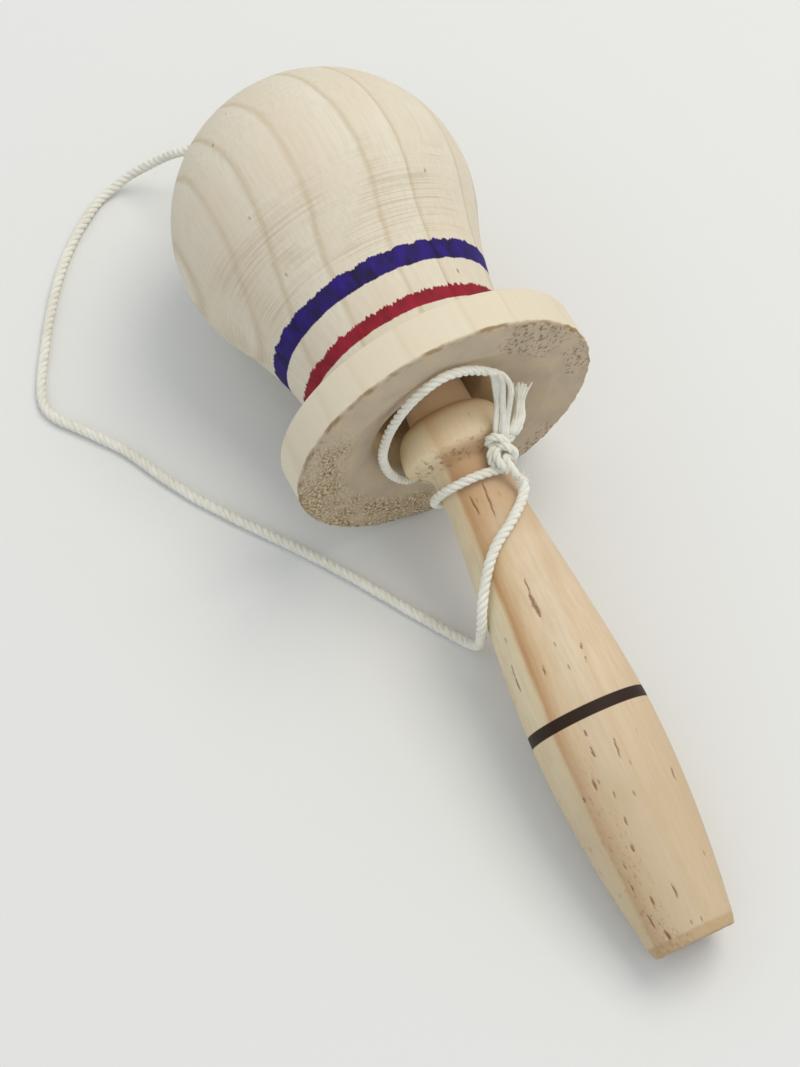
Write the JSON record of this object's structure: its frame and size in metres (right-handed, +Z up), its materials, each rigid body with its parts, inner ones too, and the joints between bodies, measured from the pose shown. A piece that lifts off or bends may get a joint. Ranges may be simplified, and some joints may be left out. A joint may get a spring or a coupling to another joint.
{
  "type": "cup and ball toy",
  "caption": "Turned wooden cup and ball toy: a bulbous barrel with a bore, a handle whose spike plugs into it, and a tied cotton cord.",
  "frame": {"origin": "centre of the box round the barrel and handle, on the surface that the toy lies on", "axes": "+X along the toy from the barrel's dome to the butt of the handle, +Z up, the cord lies on the -Y side"},
  "size_m": [0.2452, 0.115, 0.0751],
  "materials": {
    "barrel_pine": "bare turned pine with two painted bands",
    "handle_pine": "bare turned pine, warmer and flecked, with one dark line",
    "cotton": "twisted undyed cotton cord"
  },
  "bodies": {
    "barrel": {"barrel": "barrel_pine", "stopper_knot": "cotton", "cord_run": "cotton"},
    "tie": {"tie_winding": "cotton", "tie_knot": "cotton", "cord_tail": "cotton"},
    "handle": {"handle": "handle_pine"}
  },
  "joints": [
    {"name": "handle_pull", "type": "slide", "parent": "barrel", "child": "tie", "axis": [1, 0, 0], "range_m": [0, 0.075], "deforming": ["cord_run"]},
    {"name": "handle_spin", "type": "hinge", "parent": "tie", "child": "handle", "pos_m": [-0.01303, 0.00137, 0.03314], "axis": [0.9819, -0.0326, -0.1864], "continuous": true}
  ]
}
